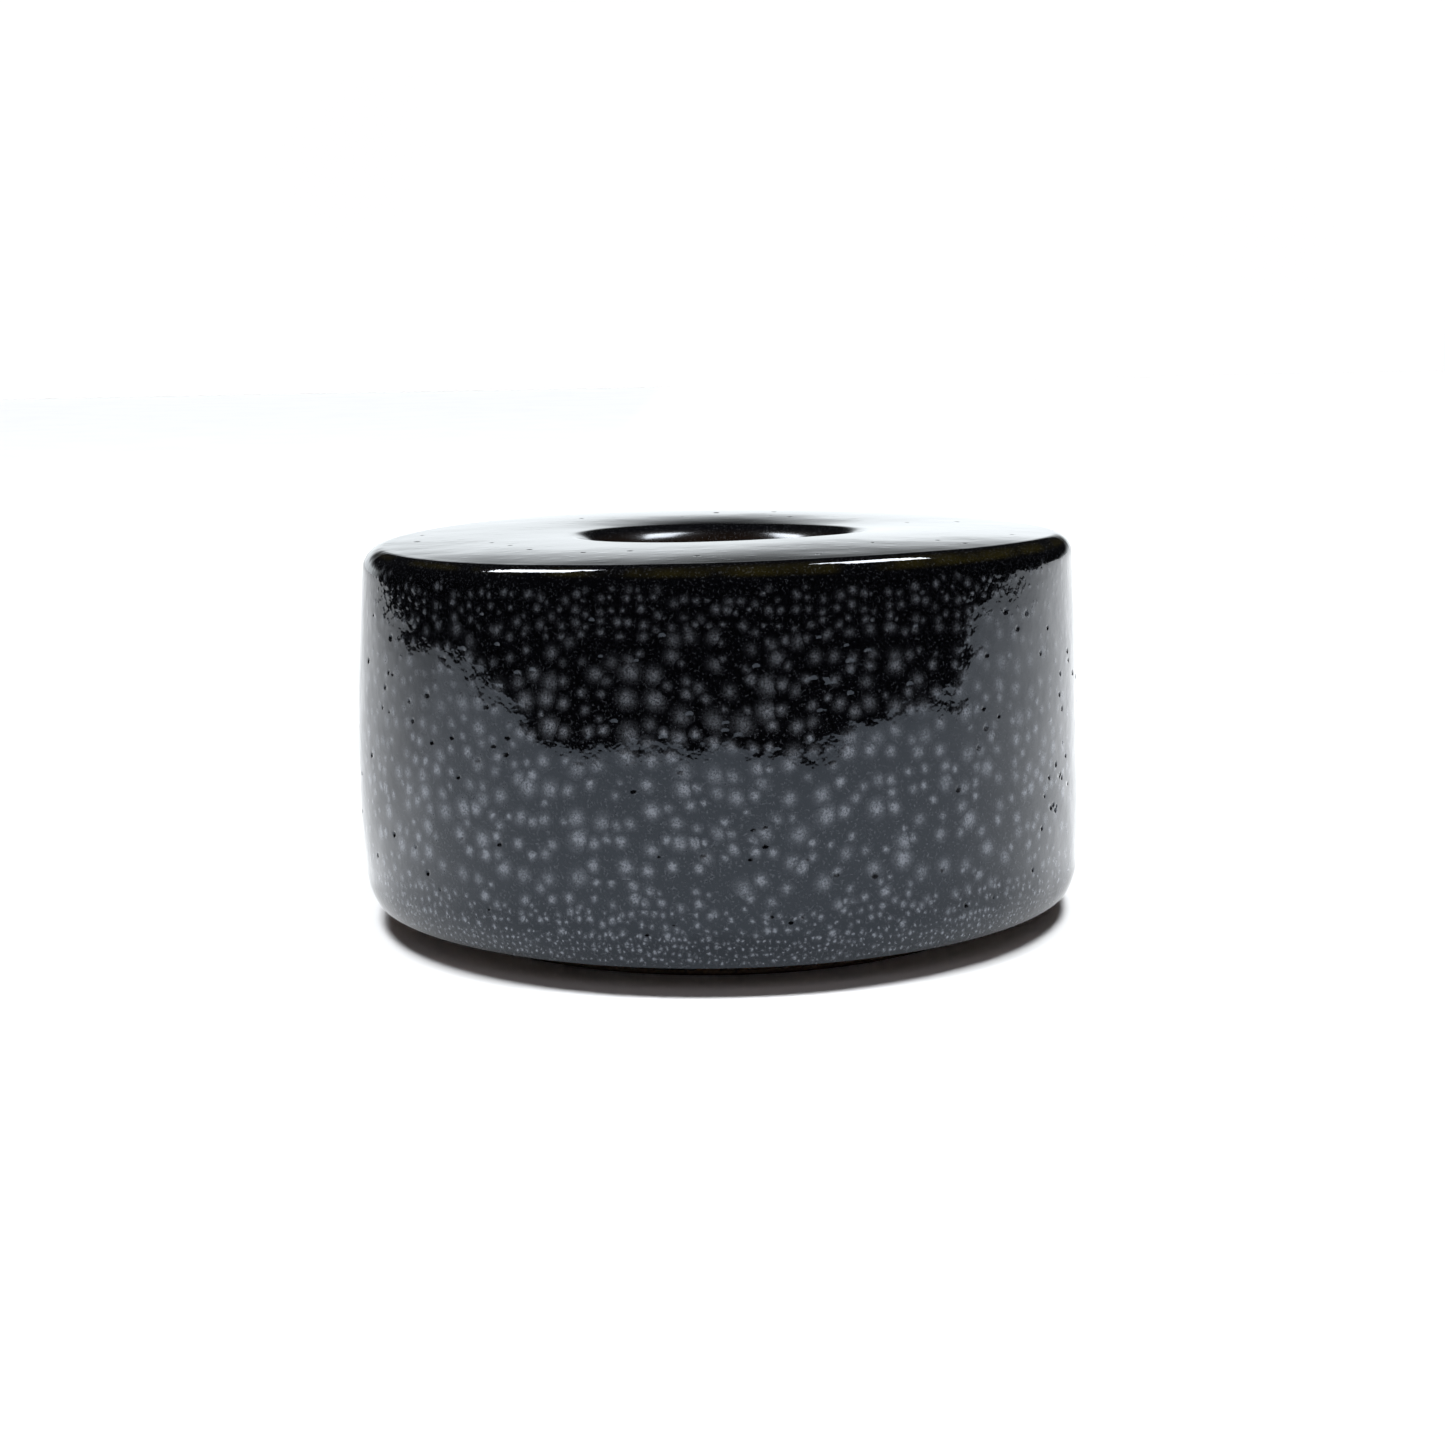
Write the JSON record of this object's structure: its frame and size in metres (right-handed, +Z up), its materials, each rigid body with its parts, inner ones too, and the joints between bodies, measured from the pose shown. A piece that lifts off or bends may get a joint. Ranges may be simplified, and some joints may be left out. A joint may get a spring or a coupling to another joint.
{
  "type": "candle jar",
  "caption": "Low round glazed stoneware candle jar with a flat top and a small round mouth, standing on a recessed foot ring.",
  "frame": {"origin": "centre of the circle the foot ring stands on, in the plane of the table", "axes": "+Z up along the axis the jar was turned about; the jar is round, and -Y is the side that faces the viewer"},
  "size_m": [0.11, 0.11, 0.0584],
  "materials": {
    "bare_clay": "bare vitrified dark stoneware",
    "clay": "dark stoneware body, covered by glaze",
    "oil_spot_glaze": "glossy black glaze with soft grey oil spots and pinholes",
    "liner_glaze": "glossy black-brown liner glaze",
    "thin_brown_glaze": "thin glossy dark brown glaze"
  },
  "bodies": {
    "root": {"foot_ring": "bare_clay", "base_plate": "clay", "side_wall": "clay", "top_plate": "clay", "outer_glaze": "oil_spot_glaze", "liner_glaze": "liner_glaze", "underside_glaze": "thin_brown_glaze", "recess_glaze": "thin_brown_glaze"}
  },
  "joints": []
}
